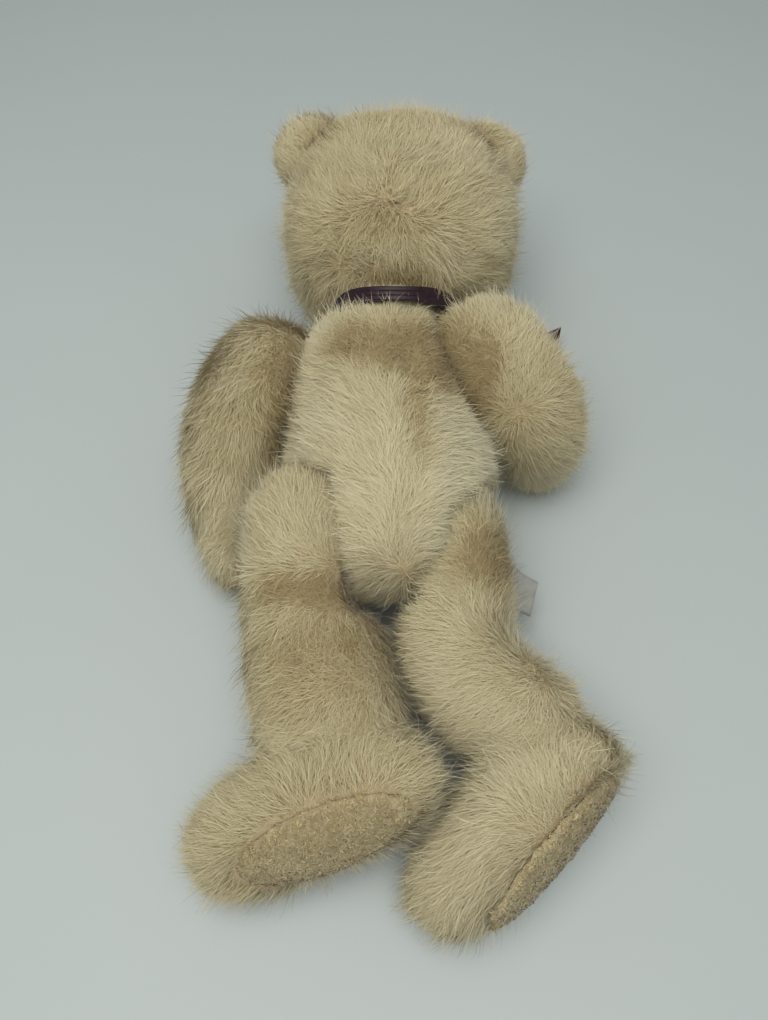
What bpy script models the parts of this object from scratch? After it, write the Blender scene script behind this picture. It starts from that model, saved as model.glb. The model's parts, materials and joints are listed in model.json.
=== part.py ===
"""A plush teddy bear with disc joints, lying face down with its limbs flopped as they fell.

The bear lies along Y with its head at +Y, its back up and its own left side at -X.
Every sewn skin, stuffing, joint disc, washer, eye and length of ribbon is its own object.
All lengths are written in millimetres and turned into metres by MM.
"""

import math

import bmesh
import bpy
from mathutils import Matrix, Vector

MM = 0.001

# Overall placing: the layout below is drawn around the middle of the back, then moved by this
# much so that the middle of the bear's footprint is at the origin.
LAYOUT_SHIFT = (-1.706, 1.696, 0.0)

# Sewn fabric
SKIN = 1.6  # backing cloth with the dense foot of its pile
GAP = 0.3  # between pieces that touch
PLANE_GAP = 0.25  # each side of a joint's meeting plane
STUFFING_INSET = SKIN + 1.2
RING_SIDES = 8
CAGE_SWELL = 1.0 / 0.925  # one subdivision pulls an eight-sided ring in by this much

# Disc joints
STEM_RADIUS = 3.0
STEM_LENGTH = 8.6
STEM_HOLE_RADIUS = 4.4
DISC_THICKNESS = 2.5
LIMB_DISC_RADIUS = 11.5
NECK_DISC_RADIUS = 15.0
WASHER_THICKNESS = 2.0
WASHER_BORE = 3.6
LOCK_RADIUS = 7.0
LOCK_THICKNESS = 1.0
POCKET_MARGIN = 1.2
TURNED_STEPS = 16
EYE_STEPS = 12

# Head
HEAD_CENTRE = (8.5, 130.0, 60.0)
HEAD_HALF = (56.5, 61.0, 49.0)
HEAD_SQUARENESS = 2.6  # 2 is an ellipsoid, more is boxier
MUZZLE_CENTRE = (8.5, 118.0, 27.0)
MUZZLE_HALF = (27.0, 24.0, 27.0)
EAR_HALF = (20.0, 17.0, 11.0)
EYE_RADIUS = 6.0
EYE_SPREAD = 19.0
EYE_Y = 143.0
SHANK_RADIUS = 2.0
SHANK_LENGTH = 9.0

# Joints: a point in the meeting plane and the direction from the torso into the moving piece
NECK_POINT = (5.0, 71.0, 57.0)
NECK_OUT = (0.0, 1.0, 0.0)
SHOULDER_LEFT_POINT = (-38.0, 38.0, 50.0)
SHOULDER_LEFT_OUT = (-0.93, 0.36, 0.05)
SHOULDER_RIGHT_POINT = (32.4, 40.4, 58.0)
SHOULDER_RIGHT_OUT = (0.85, 0.20, 0.48)
HIP_LEFT_POINT = (-16.5, -51.0, 50.0)
HIP_LEFT_OUT = (-1.0, 0.0, 0.0)
HIP_RIGHT_POINT = (20.0, -49.0, 42.0)
HIP_RIGHT_OUT = (1.0, 0.0, 0.0)
NECK_PRESS = 60.0
SHOULDER_LEFT_PRESS = 32.0
SHOULDER_RIGHT_PRESS = 70.0
HIP_SOCKET_RADIUS = 32.5

# How far the cutters reach, and the half-widths of the flat ones
PRESS_REACH = 40.0
SOCKET_REACH = 90.0
SOCKET_SIDES = 24
STEM_HOLE_REACH = 6.0
STEM_HOLE_SIDES = 16
POCKET_REACH = 5.0
NECK_FACE_HALF = 45.0
SHOULDER_FACE_HALF = 90.0
SOLE_FACE_HALF = 80.0
FLOOR_HALF = 300.0
FLOOR_DEPTH = 20.0

# Ribbon
RIBBON_WIDTH = 15.0
RIBBON_THICKNESS = 0.9
BAND_RADIUS = 30.0
BAND_WIDTH = 8.0
TAIL_START_HALF_WIDTHS = (4.0, 6.5)  # gathered where a tail leaves the knot
TAIL_LEFT = ((-4, 71, 7.5), (-22, 75, 4), (-50, 79, 2.5), (-75, 79, 2.5), (-96, 77, 3.5))
TAIL_RIGHT = ((14, 72, 7.5), (32, 75, 4), (56, 83, 2.5), (78, 91, 4), (98, 97, 9))

# Soft forms: each row is the middle of a cross-section and its half-width and half-height
TORSO = (
    (5, 80, 57, 21, 20),
    (5, 70, 57, 23, 22),
    (4.8, 61, 56.5, 28, 28),
    (2, 50, 52, 41, 32),
    (-2, 38, 49, 43, 34),
    (0, 20, 43, 44, 44),
    (2, -5, 41, 47, 46.5),
    (3, -22, 46, 45, 41.5),
    (4, -38, 53, 39, 32),
    (3.5, -54, 52, 32.5, 28),
    (2, -66, 51, 24, 22),
    (1, -71.5, 50, 12, 12),
)
ARM_LEFT = (
    (-47, 61, 59, 9, 10),
    (-48.2, 55, 56, 20.5, 22),
    (-55.7, 41.2, 52, 24.3, 26),
    (-66.5, 23, 43.5, 26.2, 26),
    (-72, 3, 36, 23.5, 23),
    (-73, -15, 26, 18.5, 20),
    (-72, -32, 18, 13.5, 17),
    (-70, -44, 14, 9.5, 12),
    (-69, -50, 13, 5, 6),
)
ARM_RIGHT = (
    (41, 59.5, 67.5, 13, 13),
    (42, 52.5, 66.5, 20.5, 23.5),
    (48, 40.8, 65, 21.5, 25),
    (59.3, 27.8, 58, 22, 25),
    (70, 18.7, 46, 22.8, 24),
    (75, 17, 30, 21, 22),
    (77.5, 17, 13, 16, 17),
    (78, 17.5, 3, 11, 12),
    (78, 17.5, -1, 7, 8),
)
LEG_LEFT = (
    (-36, -20, 50, 8, 9),
    (-35.5, -25, 50, 16, 19),
    (-34.5, -37, 50, 23, 28),
    (-34, -51, 49, 24, 30.5),
    (-32.5, -66, 45, 25, 29),
    (-30, -82, 38, 27, 27),
    (-25, -100, 35, 29.5, 26),
    (-20, -119, 35, 30, 27),
    (-17, -134, 36, 26, 24),
    (-16, -143, 37, 14, 14),
)
LEG_RIGHT = (
    (35, -21.5, 42, 8, 9),
    (34, -26, 42, 12.5, 17),
    (33, -36.5, 41.5, 17.5, 26),
    (33.2, -50, 41.5, 19, 30),
    (32, -64, 38.5, 21, 28),
    (29.5, -80, 34, 24, 26),
    (31, -98, 34, 23.5, 25),
    (44.4, -114.4, 35, 24, 26),
    (61.5, -127, 36, 23, 25),
    (72, -131, 36, 15, 15),
)
# Feet: heel to toe, half-width across the foot and half-height from instep to sole
FOOT_LEFT = (
    (15.5, -138, 50, 9, 9),
    (10, -141, 48, 18, 18),
    (-5, -146, 41, 23, 23),
    (-25, -151, 33, 24.5, 25),
    (-46, -159, 22.5, 23, 24),
    (-62, -167, 17, 18, 20),
    (-70, -173, 14, 9, 9),
)
FOOT_RIGHT = (
    (85, -129, 42, 10, 10),
    (79, -133, 41, 19, 18),
    (66, -144, 37, 23.5, 22),
    (49, -157, 31, 24, 22),
    (33, -171, 21.5, 22, 20),
    (23, -182, 16, 17, 17),
    (17, -189, 14, 9, 9),
)
SOLE_LEFT_POINT = (-22.0, -165.0, 43.0)
SOLE_LEFT_OUT = (0.03, -0.82, 0.57)
SOLE_RIGHT_POINT = (62.0, -168.0, 36.0)
SOLE_RIGHT_OUT = (0.62, -0.70, 0.36)
PAD_THICKNESS = 1.4
WELD_DISTANCE = 0.02

UP = Vector((0, 0, 1))
TOWARDS_TAIL = Vector((0, -1, 0))


def vec(point):
    """A layout point in millimetres as a place in metres."""
    return Vector([(p + s) * MM for p, s in zip(point, LAYOUT_SHIFT)])


def clear_scene():
    """Empty the scene of everything it opened with."""
    for obj in list(bpy.data.objects):
        bpy.data.objects.remove(obj, do_unlink=True)


def make_collection(name):
    """A new collection linked to the scene."""
    collection = bpy.data.collections.new(name)
    bpy.context.scene.collection.children.link(collection)
    return collection


def make_material(name, colour, roughness, metallic=0.0):
    """A plain Principled material."""
    material = bpy.data.materials.new(name)
    material.use_nodes = True
    shader = material.node_tree.nodes["Principled BSDF"]
    shader.inputs["Base Color"].default_value = (*colour, 1.0)
    shader.inputs["Roughness"].default_value = roughness
    shader.inputs["Metallic"].default_value = metallic
    material.diffuse_color = (*colour, 1.0)
    return material


clear_scene()
PARTS = make_collection("jointed_teddy_bear")
CUTTERS = make_collection("cutters")
PLUSH = make_material("plush", (0.62, 0.52, 0.34), 0.95)
SHERPA = make_material("pad_cloth", (0.55, 0.45, 0.29), 0.95)
FILLING = make_material("polyester_filling", (0.85, 0.85, 0.83), 1.0)
JOINT_PLASTIC = make_material("joint_plastic", (0.86, 0.85, 0.80), 0.45)
STEEL = make_material("lock_steel", (0.65, 0.65, 0.66), 0.3, 1.0)
EYE_PLASTIC = make_material("eye_plastic", (0.02, 0.012, 0.008), 0.08)
THREAD = make_material("nose_thread", (0.05, 0.025, 0.018), 0.6)
SATIN = make_material("ribbon_satin", (0.10, 0.02, 0.06), 0.35)
LABEL = make_material("label_satin", (0.75, 0.75, 0.70), 0.5)


def add_object(name, mesh, material, collection=None):
    """Link a mesh as a named object."""
    obj = bpy.data.objects.new(name, mesh)
    (collection or PARTS).objects.link(obj)
    if material:
        mesh.materials.append(material)
    return obj


def hang_on(obj, body):
    """Parent a placed piece to the empty on its body's joint, without moving it."""
    bpy.context.view_layer.update()
    obj.parent = body
    obj.matrix_parent_inverse = body.matrix_world.inverted()
    return obj


def add_part(name, mesh, material, body):
    """A piece of the bear whose mesh is already in place, parented to its body's empty."""
    return hang_on(add_object(name, mesh, material), body)


def as_cutter(obj):
    """Mark an object as a guide that only shapes others."""
    obj.display_type = "WIRE"
    obj.hide_render = True
    return obj


def facing(out, point):
    """The matrix that turns local +Z to out at a layout point."""
    turn = Vector(out).to_track_quat("Z", "Y").to_matrix().to_4x4()
    return Matrix.Translation(vec(point)) @ turn


def joint_empty(name, point, out, parent):
    """An empty whose +Z is the joint's axis; the moving pieces hang from it."""
    empty = bpy.data.objects.new(name, None)
    empty.empty_display_size = 20 * MM
    PARTS.objects.link(empty)
    empty.matrix_world = facing(out, point)
    return hang_on(empty, parent)


# ---------------------------------------------------------------- shapes

def loft_mesh(name, rows, top_of_ring, inset=0.0, facing_way=None):
    """A closed coarse cage through the cross-sections in rows, each side pulled in by inset.

    The sections face along the line through their middles, or all face facing_way.
    """
    centres = [vec(row[:3]) for row in rows]
    last = len(rows) - 1
    mesh = bpy.data.meshes.new(name)
    bm = bmesh.new()
    rings = []
    for i, row in enumerate(rows):
        along = facing_way or (centres[min(i + 1, last)] - centres[max(i - 1, 0)]).normalized()
        side = along.cross(top_of_ring).normalized()
        top = side.cross(along)
        centre = centres[i]
        if i == 0:
            centre = centre + along * inset * MM
        if i == last:
            centre = centre - along * inset * MM
        half_width = max(row[3] - inset, 2.0) * MM * CAGE_SWELL
        half_height = max(row[4] - inset, 2.0) * MM * CAGE_SWELL
        ring = []
        for k in range(RING_SIDES):
            angle = math.tau * k / RING_SIDES
            offset = side * half_width * math.cos(angle) + top * half_height * math.sin(angle)
            ring.append(bm.verts.new(centre + offset))
        rings.append(ring)
    for ring, following in zip(rings, rings[1:]):
        for k in range(RING_SIDES):
            j = (k + 1) % RING_SIDES
            bm.faces.new((ring[k], ring[j], following[j], following[k]))
    bm.faces.new(reversed(rings[0]))
    bm.faces.new(rings[-1])
    bmesh.ops.recalc_face_normals(bm, faces=bm.faces)
    bm.to_mesh(mesh)
    bm.free()
    return mesh


def ellipsoid_mesh(name, half, segments=24, rings=14, squareness=2.0):
    """A closed ellipsoid around the local origin, boxier as squareness rises above 2."""
    mesh = bpy.data.meshes.new(name)
    bm = bmesh.new()
    bmesh.ops.create_uvsphere(bm, u_segments=segments, v_segments=rings, radius=1.0)
    for vertex in bm.verts:
        reach = sum(abs(value) ** squareness for value in vertex.co)
        vertex.co /= reach ** (1.0 / squareness)
    bmesh.ops.scale(bm, vec=Vector(half) * MM, verts=bm.verts)
    bm.to_mesh(mesh)
    bm.free()
    return mesh


def box_mesh(name, half):
    """A box around the local origin with the given half sizes."""
    mesh = bpy.data.meshes.new(name)
    bm = bmesh.new()
    bmesh.ops.create_cube(bm, size=2.0)
    bmesh.ops.scale(bm, vec=Vector(half) * MM, verts=bm.verts)
    bm.to_mesh(mesh)
    bm.free()
    return mesh


def cylinder_mesh(name, radius, low, high, segments=TURNED_STEPS):
    """A closed cylinder along local Z from low to high."""
    mesh = bpy.data.meshes.new(name)
    bm = bmesh.new()
    bmesh.ops.create_cone(
        bm,
        cap_ends=True,
        segments=segments,
        radius1=radius * MM,
        radius2=radius * MM,
        depth=(high - low) * MM,
    )
    bmesh.ops.translate(bm, vec=Vector((0, 0, (high + low) / 2 * MM)), verts=bm.verts)
    bm.to_mesh(mesh)
    bm.free()
    return mesh


def turned_mesh(name, profile, closed):
    """A profile of (radius, height) points, from the outer top downward, for a Screw modifier."""
    mesh = bpy.data.meshes.new(name)
    points = [(r * MM, 0.0, h * MM) for r, h in profile]
    edges = [(i, i + 1) for i in range(len(points) - 1)]
    if closed:
        edges.append((len(points) - 1, 0))
    mesh.from_pydata(points, edges, [])
    return mesh


def add_screw(obj, steps=TURNED_STEPS):
    """Turn a profile right round local Z."""
    screw = obj.modifiers.new("turn", "SCREW")
    screw.axis = "Z"
    screw.angle = math.tau
    screw.steps = steps
    screw.render_steps = steps
    screw.use_merge_vertices = True
    screw.merge_threshold = 0.00001
    screw.use_normal_calculate = False


def add_subdivision(obj, levels=1):
    """Round a coarse cage off."""
    subdivision = obj.modifiers.new("soften", "SUBSURF")
    subdivision.levels = levels
    subdivision.render_levels = levels


def add_boolean(obj, other, operation="DIFFERENCE"):
    """Cut another solid away from obj, or join it on."""
    boolean = obj.modifiers.new(other.name, "BOOLEAN")
    boolean.operation = operation
    boolean.object = other
    boolean.solver = "EXACT"


def add_weld(obj):
    """Merge the near-coincident corners that a row of cuts can leave."""
    weld = obj.modifiers.new("weld", "WELD")
    weld.merge_threshold = WELD_DISTANCE * MM


def cutter_at(name, mesh, point, out):
    """A cutter with its local +Z along out at a layout point."""
    cutter = add_object(name, mesh, None, CUTTERS)
    cutter.matrix_world = facing(out, point)
    return as_cutter(cutter)


def inward_press(name, point, out, radius, lift):
    """A round press on the torso's side of a joint plane that flattens the moving piece."""
    return cutter_at(name, cylinder_mesh(name, radius, -PRESS_REACH, lift), point, out)


def outward_press(name, point, out, half_width, sink):
    """A flat press on the moving piece's side of a joint plane that flattens the torso."""
    mesh = box_mesh(name, (half_width, half_width, PRESS_REACH))
    for vertex in mesh.vertices:
        vertex.co.z += (PRESS_REACH - sink) * MM
    return cutter_at(name, mesh, point, out)


def hip_socket(name, point, out, sink):
    """The round hollow that a thigh turns in, cut from the torso outside the joint plane."""
    radius = HIP_SOCKET_RADIUS + sink
    mesh = cylinder_mesh(name, radius, -sink, SOCKET_REACH, SOCKET_SIDES)
    return cutter_at(name, mesh, point, out)


def stem_hole(name, point, out):
    """A cutter for the hole that a joint's stem passes through."""
    reach = STEM_HOLE_REACH
    mesh = cylinder_mesh(name, STEM_HOLE_RADIUS, -reach, reach, STEM_HOLE_SIDES)
    return cutter_at(name, mesh, point, out)


def pocket(name, point, out, radius, low, high):
    """A cutter for the space in a stuffing that a disc or washer fills."""
    return cutter_at(name, cylinder_mesh(name, radius + POCKET_MARGIN, low, high), point, out)


# ---------------------------------------------------------------- joints

class Joint:
    """One disc joint: its meeting plane, its empty and its three turned pieces."""

    def __init__(self, name, point, out, disc_radius, parent):
        self.name = name
        self.point = point
        self.out = Vector(out).normalized()
        self.disc_radius = disc_radius
        self.empty = joint_empty(name + "_axis", point, self.out, parent)
        self.parent = parent

    def stud(self):
        """The disc inside the moving piece with the stem that reaches into the torso."""
        near = PLANE_GAP + SKIN + GAP
        far = near + DISC_THICKNESS
        profile = (
            (0.0, far),
            (self.disc_radius, far),
            (self.disc_radius, near),
            (STEM_RADIUS, near),
            (STEM_RADIUS, 0.5 - STEM_LENGTH),
            (STEM_RADIUS - 0.5, -STEM_LENGTH),
            (0.0, -STEM_LENGTH),
        )
        self.turned("stud", profile, False, JOINT_PLASTIC, self.empty)

    def washer(self):
        """The plastic washer against the inside of the torso's skin."""
        top = -(PLANE_GAP + SKIN + GAP)
        bottom = top - WASHER_THICKNESS
        profile = (
            (self.disc_radius, top),
            (self.disc_radius, bottom),
            (WASHER_BORE, bottom),
            (WASHER_BORE, top),
        )
        self.turned("washer", profile, True, JOINT_PLASTIC, self.parent)

    def lock(self):
        """The steel lock washer that grips the stem behind the plastic one."""
        top = -(PLANE_GAP + SKIN + GAP + WASHER_THICKNESS + GAP)
        bottom = top - LOCK_THICKNESS
        profile = (
            (LOCK_RADIUS, top),
            (LOCK_RADIUS, bottom),
            (WASHER_BORE, bottom),
            (WASHER_BORE, top),
        )
        self.turned("lock_washer", profile, True, STEEL, self.parent)

    def turned(self, piece, profile, closed, material, body):
        """A turned piece on the joint's axis."""
        name = f"{self.name}_{piece}"
        obj = add_object(name, turned_mesh(name, profile, closed), material)
        obj.matrix_world = facing(self.out, self.point)
        add_screw(obj)
        hang_on(obj, body)

    def build(self):
        """All three turned pieces."""
        self.stud()
        self.washer()
        self.lock()


ROOT = bpy.data.objects.new("bear_root", None)
PARTS.objects.link(ROOT)
bpy.context.view_layer.update()
NECK = Joint("neck", NECK_POINT, NECK_OUT, NECK_DISC_RADIUS, ROOT)
SHOULDER_LEFT = Joint(
    "shoulder_left", SHOULDER_LEFT_POINT, SHOULDER_LEFT_OUT, LIMB_DISC_RADIUS, ROOT
)
SHOULDER_RIGHT = Joint(
    "shoulder_right", SHOULDER_RIGHT_POINT, SHOULDER_RIGHT_OUT, LIMB_DISC_RADIUS, ROOT
)
HIP_LEFT = Joint("hip_left", HIP_LEFT_POINT, HIP_LEFT_OUT, LIMB_DISC_RADIUS, ROOT)
HIP_RIGHT = Joint("hip_right", HIP_RIGHT_POINT, HIP_RIGHT_OUT, LIMB_DISC_RADIUS, ROOT)
JOINTS = (NECK, SHOULDER_LEFT, SHOULDER_RIGHT, HIP_LEFT, HIP_RIGHT)
bpy.context.view_layer.update()


# ---------------------------------------------------------------- torso

def torso_presses(inset, tag):
    """Everything that flattens the torso: neck, shoulders, hip sockets and the floor."""
    sink = PLANE_GAP + inset
    presses = [outward_press(f"press_neck_{tag}", NECK.point, NECK.out, NECK_FACE_HALF, sink)]
    for joint in (SHOULDER_LEFT, SHOULDER_RIGHT):
        presses.append(
            outward_press(
                f"press_{joint.name}_{tag}", joint.point, joint.out, SHOULDER_FACE_HALF, sink
            )
        )
    for joint in (HIP_LEFT, HIP_RIGHT):
        presses.append(hip_socket(f"press_{joint.name}_{tag}", joint.point, joint.out, sink))
    presses.append(floor_press(f"press_floor_{tag}", inset))
    return presses


def floor_press(name, inset):
    """The floor under the bear, which flattens what lies on it."""
    mesh = box_mesh(name, (FLOOR_HALF, FLOOR_HALF, FLOOR_DEPTH))
    cutter = add_object(name, mesh, None, CUTTERS)
    cutter.location = (0.0, 0.0, (inset - FLOOR_DEPTH) * MM)
    return as_cutter(cutter)


def torso_form(tag, inset, material, collection):
    """The torso's outline pulled in by inset and flattened where it meets other bodies."""
    name = f"torso_{tag}"
    mesh = loft_mesh(name, TORSO, UP, inset, TOWARDS_TAIL)
    obj = add_object(name, mesh, material, collection)
    add_subdivision(obj)
    for press in torso_presses(inset, tag):
        add_boolean(obj, press)
    return obj


def build_torso():
    """The torso's skin and its stuffing."""
    skin = torso_form("skin", 0.0, PLUSH, PARTS)
    add_boolean(skin, as_cutter(torso_form("lining", SKIN, None, CUTTERS)))
    stuffing = torso_form("stuffing", STUFFING_INSET, FILLING, PARTS)
    hang_on(skin, ROOT)
    hang_on(stuffing, ROOT)
    for joint in JOINTS:
        add_boolean(skin, stem_hole(f"hole_torso_{joint.name}", joint.point, joint.out))
        name = f"pocket_torso_{joint.name}"
        depth = -(STEM_LENGTH + POCKET_MARGIN)
        room = pocket(name, joint.point, joint.out, joint.disc_radius, depth, POCKET_REACH)
        add_boolean(stuffing, room)
    add_weld(skin)
    add_weld(stuffing)


# ---------------------------------------------------------------- limbs

class Limb:
    """An arm or a leg: its cross-sections, its joint and, on a leg, its foot and flat sole."""

    def __init__(self, name, rows, joint, press_radius, up=UP, foot=None, sole=None):
        self.name = name
        self.rows = rows
        self.joint = joint
        self.press_radius = press_radius
        self.up = up
        self.foot = foot
        self.sole = sole

    def form(self, tag, inset, material, collection):
        """The limb's outline pulled in by inset, with its foot joined on and its flats pressed."""
        name = f"{self.name}_{tag}"
        mesh = loft_mesh(name, self.rows, self.up, inset)
        obj = add_object(name, mesh, material, collection)
        add_subdivision(obj)
        if self.foot:
            self.add_foot(obj, inset)
        lift = PLANE_GAP + inset
        joint = self.joint
        radius = self.press_radius + inset
        press = inward_press(f"press_{name}", joint.point, joint.out, radius, lift)
        add_boolean(obj, press)
        add_boolean(obj, floor_press(f"press_{name}_floor", inset))
        return obj

    def add_foot(self, obj, inset):
        """Join the foot to the leg and cut the sole flat."""
        point, direction = self.sole
        out = Vector(direction).normalized()
        foot_name = f"foot_of_{obj.name}"
        foot = add_object(foot_name, loft_mesh(foot_name, self.foot, out, inset), None, CUTTERS)
        add_subdivision(foot)
        add_boolean(obj, as_cutter(foot), "UNION")
        press_name = f"press_{obj.name}_sole"
        add_boolean(obj, outward_press(press_name, point, out, SOLE_FACE_HALF, inset))

    def build(self):
        """The limb's skin and stuffing."""
        joint = self.joint
        skin = self.form("skin", 0.0, PLUSH, PARTS)
        add_boolean(skin, as_cutter(self.form("lining", SKIN, None, CUTTERS)))
        add_boolean(skin, stem_hole(f"hole_{self.name}", joint.point, joint.out))
        stuffing = self.form("stuffing", STUFFING_INSET, FILLING, PARTS)
        top = PLANE_GAP + SKIN + GAP + DISC_THICKNESS + POCKET_MARGIN
        room = pocket(
            f"pocket_{self.name}", joint.point, joint.out, joint.disc_radius, -POCKET_REACH, top
        )
        add_boolean(stuffing, room)
        add_weld(skin)
        add_weld(stuffing)
        hang_on(skin, joint.empty)
        hang_on(stuffing, joint.empty)


def oval_pad(name, body, point, out, long_axis, half_long, half_short):
    """A flat oval of pad cloth lying on a flattened sole or palm."""
    curve = bpy.data.curves.new(name, "CURVE")
    curve.dimensions = "2D"
    curve.fill_mode = "BOTH"
    curve.extrude = PAD_THICKNESS / 2 * MM
    spline = curve.splines.new("POLY")
    count = 20
    spline.points.add(count - 1)
    for i in range(count):
        angle = math.tau * i / count
        x = half_long * math.cos(angle) * MM
        y = half_short * math.sin(angle) * MM
        spline.points[i].co = (x, y, 0.0, 1.0)
    spline.use_cyclic_u = True
    outline = bpy.data.objects.new(name + "_outline", curve)
    CUTTERS.objects.link(outline)
    z_axis = Vector(out).normalized()
    x_axis = Vector(long_axis)
    x_axis = (x_axis - z_axis * x_axis.dot(z_axis)).normalized()
    y_axis = z_axis.cross(x_axis)
    turn = Matrix((x_axis, y_axis, z_axis)).transposed().to_4x4()
    lift = Matrix.Translation(z_axis * (GAP + PAD_THICKNESS / 2) * MM)
    outline.matrix_world = lift @ Matrix.Translation(vec(point)) @ turn
    return mesh_from_curve(name, outline, SHERPA, body)


def mesh_from_curve(name, outline, material, body):
    """Turn a curve object into a welded mesh piece and drop the curve."""
    bpy.context.view_layer.update()
    graph = bpy.context.evaluated_depsgraph_get()
    mesh = bpy.data.meshes.new_from_object(outline.evaluated_get(graph))
    bm = bmesh.new()
    bm.from_mesh(mesh)
    bmesh.ops.remove_doubles(bm, verts=bm.verts, dist=0.00001)
    bmesh.ops.transform(bm, matrix=outline.matrix_world, verts=bm.verts)
    bmesh.ops.recalc_face_normals(bm, faces=bm.faces)
    bm.to_mesh(mesh)
    bm.free()
    mesh.materials.clear()
    mesh.name = name
    bpy.data.objects.remove(outline, do_unlink=True)
    return add_part(name, mesh, material, body)


# ---------------------------------------------------------------- head

def head_form(name, grow, collection, material=None):
    """The head's outer form, an egg with a muzzle, made larger by grow."""
    half = [h + grow for h in HEAD_HALF]
    obj = add_object(name, ellipsoid_mesh(name, half, 24, 14, HEAD_SQUARENESS), material, collection)
    obj.location = vec(HEAD_CENTRE)
    muzzle_name = f"{name}_muzzle"
    muzzle_half = [h + grow for h in MUZZLE_HALF]
    muzzle = add_object(muzzle_name, ellipsoid_mesh(muzzle_name, muzzle_half, 16, 10), None, CUTTERS)
    muzzle.location = vec(MUZZLE_CENTRE)
    add_boolean(obj, as_cutter(muzzle), "UNION")
    return obj


def eye_frames():
    """Where each eye sits on the face, as (name, layout point, outward direction)."""
    frames = []
    for name, sign in (("left", -1.0), ("right", 1.0)):
        dx = sign * EYE_SPREAD
        dy = EYE_Y - HEAD_CENTRE[1]
        a, b, c = HEAD_HALF
        p = HEAD_SQUARENESS
        dz = -c * (1.0 - abs(dx / a) ** p - abs(dy / b) ** p) ** (1.0 / p)
        slope = [math.copysign(abs(d / h) ** (p - 1.0) / h, d) for d, h in ((dx, a), (dy, b), (dz, c))]
        out = Vector(slope).normalized()
        point = (HEAD_CENTRE[0] + dx, HEAD_CENTRE[1] + dy, HEAD_CENTRE[2] + dz)
        frames.append((name, point, out))
    return frames


def pressed_head(name, inset, collection, material=None):
    """The head's form pulled in by inset and flattened where it meets the torso."""
    obj = head_form(name, -inset, collection, material)
    radius = NECK_PRESS + inset
    press = inward_press(f"press_{name}", NECK.point, NECK.out, radius, PLANE_GAP + inset)
    add_boolean(obj, press)
    return obj


def build_head():
    """The head's skin and stuffing, and the eyes fixed through them."""
    skin = pressed_head("head_skin", 0.0, PARTS, PLUSH)
    add_boolean(skin, as_cutter(pressed_head("head_lining", SKIN, CUTTERS)))
    add_boolean(skin, stem_hole("hole_head", NECK.point, NECK.out))
    stuffing = pressed_head("head_stuffing", STUFFING_INSET, PARTS, FILLING)
    top = PLANE_GAP + SKIN + GAP + DISC_THICKNESS + POCKET_MARGIN
    room = pocket("pocket_head", NECK.point, NECK.out, NECK.disc_radius, -POCKET_REACH, top)
    add_boolean(stuffing, room)
    hang_on(skin, NECK.empty)
    hang_on(stuffing, NECK.empty)
    for name, point, out in eye_frames():
        hole = cylinder_mesh(f"hole_eye_{name}", SHANK_RADIUS + 0.6, -6.0, 6.0, 12)
        add_boolean(skin, cutter_at(f"hole_eye_{name}", hole, point, out))
        room = pocket(f"pocket_eye_{name}", point, out, EYE_RADIUS, -SHANK_LENGTH - 1.0, 2.0)
        add_boolean(stuffing, room)
        build_eye(name, point, out)
    add_weld(skin)
    add_weld(stuffing)


def build_eye(name, point, out):
    """A domed safety eye with its shank and the washer that holds it from inside."""
    lift = 0.8
    dome = []
    for i in range(7):
        angle = math.pi / 2 * (1.0 - i / 6)
        dome.append((EYE_RADIUS * math.cos(angle), lift + 0.6 + EYE_RADIUS * 0.75 * math.sin(angle)))
    dome[0] = (0.0, dome[0][1])
    profile = dome + [
        (EYE_RADIUS, lift),
        (SHANK_RADIUS, lift),
        (SHANK_RADIUS, -SHANK_LENGTH),
        (0.0, -SHANK_LENGTH),
    ]
    washer_top = -(SKIN + 0.9)
    washer = (
        (EYE_RADIUS, washer_top),
        (EYE_RADIUS, washer_top - 1.2),
        (SHANK_RADIUS + 0.5, washer_top - 1.2),
        (SHANK_RADIUS + 0.5, washer_top),
    )
    for piece, shape, closed, material in (
        (f"eye_{name}", profile, False, EYE_PLASTIC),
        (f"eye_washer_{name}", washer, True, JOINT_PLASTIC),
    ):
        obj = add_object(piece, turned_mesh(piece, shape, closed), material)
        obj.matrix_world = facing(out, point)
        add_screw(obj, EYE_STEPS)
        hang_on(obj, NECK.empty)


def build_ear(name, centre, turn):
    """A flattened round ear whose base follows the head."""
    obj = add_object(name, ellipsoid_mesh(name, EAR_HALF, 14, 10), PLUSH)
    obj.matrix_world = Matrix.Translation(vec(centre)) @ turn
    hang_on(obj, NECK.empty)
    add_boolean(obj, as_cutter(head_form(f"{name}_seat", GAP + 0.1, CUTTERS)))
    add_weld(obj)


def build_nose():
    """The padded thread nose on the end of the muzzle."""
    mesh = ellipsoid_mesh("nose", (8.5, 6.0, 5.0), 14, 8)
    obj = add_object("nose", mesh, THREAD)
    obj.matrix_world = Matrix.Translation(vec((8.5, 133.5, 7.8))) @ Matrix.Rotation(0.6, 4, "X")
    hang_on(obj, NECK.empty)
    add_boolean(obj, as_cutter(head_form("nose_seat", GAP + 0.1, CUTTERS)))
    add_weld(obj)


def on_muzzle(x, y, lift):
    """The layout point on the underside of the muzzle at x and y, lifted off it."""
    dx = x - MUZZLE_CENTRE[0]
    dy = y - MUZZLE_CENTRE[1]
    a, b, c = MUZZLE_HALF
    dz = -c * math.sqrt(1.0 - (dx / a) ** 2 - (dy / b) ** 2)
    out = Vector((dx / a**2, dy / b**2, dz / c**2)).normalized()
    return (x + out.x * lift, y + out.y * lift, MUZZLE_CENTRE[2] + dz + out.z * lift)


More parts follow.
